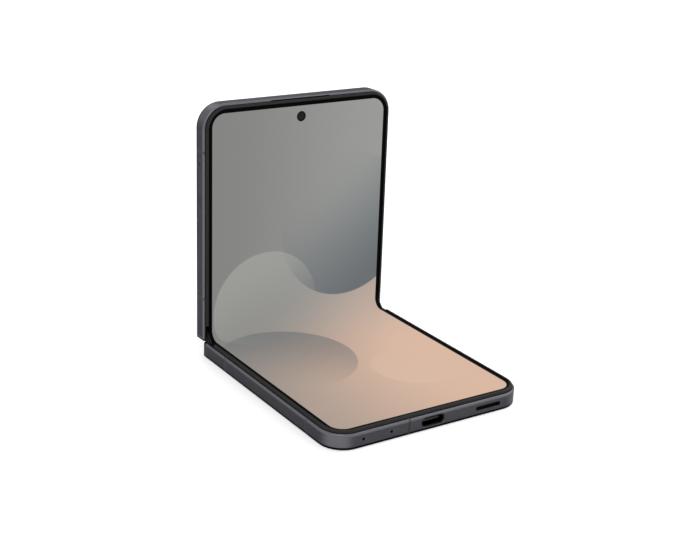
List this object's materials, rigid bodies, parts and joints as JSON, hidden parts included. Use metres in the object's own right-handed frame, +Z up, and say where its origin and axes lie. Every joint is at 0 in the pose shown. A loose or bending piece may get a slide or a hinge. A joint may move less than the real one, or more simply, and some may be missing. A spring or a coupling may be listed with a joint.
{
  "type": "foldable smartphone",
  "caption": "Pocket phone that folds at mid-length, half open: two metal-framed halves on a geared spine hinge, one bending screen, keys, card tray, port and speaker slot.",
  "frame": {"origin": "centre of the lower half's back face, which rests on the table", "axes": "+X to the right along the fold, +Y from the lower half's far end towards the fold, +Z up out of the lower half's screen"},
  "size_m": [0.0755, 0.0916, 0.089],
  "materials": {
    "frame_metal": "anodised, dark grey, satin",
    "plate_metal": "bare, matte",
    "hinge_steel": "satin",
    "screw_steel": "satin",
    "gear_metal": "satin",
    "shield_metal": "satin",
    "coil_copper": "copper foil",
    "trim_plastic": "soft black",
    "antenna_plastic": "dark grey",
    "black_plastic": "black",
    "screen": "gloss, soft grey to peach",
    "rear_glass": "matte, opaque black coating behind",
    "front_glass": "gloss, opaque black",
    "lens_glass": "coated, clear",
    "camera_black": "black",
    "lamp": "clear yellow",
    "cell_foil": "black foil pouch",
    "board": "solder mask",
    "mic_metal": "satin",
    "flex_film": "polyimide film"
  },
  "bodies": {
    "lower_half": {"lower_frame": "frame_metal", "lower_midplate": "plate_metal", "lower_back_glass": "rear_glass", "lower_trim": "trim_plastic", "lower_screen": "screen", "lower_battery": "cell_foil", "charging_coil": "coil_copper", "sub_board": "board", "sub_board_shield": "shield_metal", "usb_port_shell": "shield_metal", "usb_port_tongue": "black_plastic", "loudspeaker": "black_plastic", "speaker_mesh": "black_plastic", "bottom_microphones": "mic_metal", "lower_antenna_breaks": "antenna_plastic", "lower_hinge_bracket": "hinge_steel", "lower_wing_plate": "hinge_steel", "lower_screws": "screw_steel"},
    "spine": {"spine_cover": "frame_metal", "rail_blocks": "hinge_steel", "sync_gear_block": "hinge_steel", "idler_pins": "hinge_steel", "detent_springs": "hinge_steel", "fold_end_caps": "trim_plastic", "hinge_screws": "screw_steel", "fold_screen": "screen", "hinge_flex_cables": "flex_film"},
    "upper_half": {"upper_frame": "frame_metal", "upper_midplate": "plate_metal", "cover_glass": "front_glass", "cover_screen": "screen", "upper_trim": "trim_plastic", "upper_screen": "screen", "front_camera": "camera_black", "upper_battery": "cell_foil", "main_board": "board", "board_shields": "shield_metal", "rear_camera_main": "camera_black", "rear_camera_wide": "camera_black", "camera_rings": "frame_metal", "camera_lens_glass": "lens_glass", "flash_lamp": "lamp", "earpiece": "black_plastic", "earpiece_mesh": "black_plastic", "vibration_motor": "black_plastic", "upper_antenna_breaks": "antenna_plastic", "upper_hinge_bracket": "hinge_steel", "upper_wing_plate": "hinge_steel", "upper_screws": "screw_steel", "card_reader": "shield_metal", "key_switches": "black_plastic"},
    "sync_gear_1": {"sync_gear_1": "gear_metal"},
    "sync_gear_2": {"sync_gear_2": "gear_metal"},
    "sync_gear_3": {"sync_gear_3": "gear_metal"},
    "sync_gear_4": {"sync_gear_4": "gear_metal"},
    "side_key": {"side_key": "frame_metal"},
    "volume_key": {"volume_key": "frame_metal"},
    "card_tray": {"card_tray": "frame_metal"}
  },
  "joints": [
    {"name": "fold_lower", "type": "hinge", "parent": "lower_half", "child": "spine", "pos_m": [0, 0.03963, 0.0048], "axis": [1, 0, 0], "range_deg": [-44.4, 45.6], "deforming": ["fold_screen", "hinge_flex_cables"]},
    {"name": "fold_upper", "type": "hinge", "parent": "spine", "child": "upper_half", "pos_m": [0, 0.04255, 0.00767], "axis": [1, 0, 0], "range_deg": [-44.4, 45.6]},
    {"name": "gear_1_turn", "type": "hinge", "parent": "spine", "child": "sync_gear_1", "pos_m": [0, 0.0413, 0.00309], "axis": [1, 0, 0], "range_deg": [-111, 114]},
    {"name": "gear_2_turn", "type": "hinge", "parent": "spine", "child": "sync_gear_2", "pos_m": [0, 0.04228, 0.00405], "axis": [1, 0, 0], "range_deg": [-114, 111]},
    {"name": "gear_3_turn", "type": "hinge", "parent": "spine", "child": "sync_gear_3", "pos_m": [0, 0.04325, 0.005], "axis": [1, 0, 0], "range_deg": [-111, 114]},
    {"name": "gear_4_turn", "type": "hinge", "parent": "spine", "child": "sync_gear_4", "pos_m": [0, 0.04423, 0.00596], "axis": [1, 0, 0], "range_deg": [-114, 111]},
    {"name": "side_key_press", "type": "slide", "parent": "upper_half", "child": "side_key", "axis": [-1, 0, 0], "range_m": [0, 0.00025], "stiffness_N_per_m": 4000, "springref_m": -0.0003},
    {"name": "volume_key_rock", "type": "hinge", "parent": "upper_half", "child": "volume_key", "pos_m": [0.036, 0.04538, 0.05657], "axis": [0, -0.9998, 0.0209], "range_deg": [-1.2, 1.2], "stiffness_Nm_per_rad": 0.5},
    {"name": "card_tray_slide", "type": "slide", "parent": "upper_half", "child": "card_tray", "axis": [-1, 0, 0], "range_m": [0, 0.016]}
  ],
  "couplings": [
    {"joint": "fold_upper", "follows": "fold_lower", "ratio": 1},
    {"joint": "gear_1_turn", "follows": "fold_lower", "ratio": 2.5},
    {"joint": "gear_2_turn", "follows": "fold_lower", "ratio": -2.5},
    {"joint": "gear_3_turn", "follows": "fold_lower", "ratio": 2.5},
    {"joint": "gear_4_turn", "follows": "fold_lower", "ratio": -2.5}
  ]
}
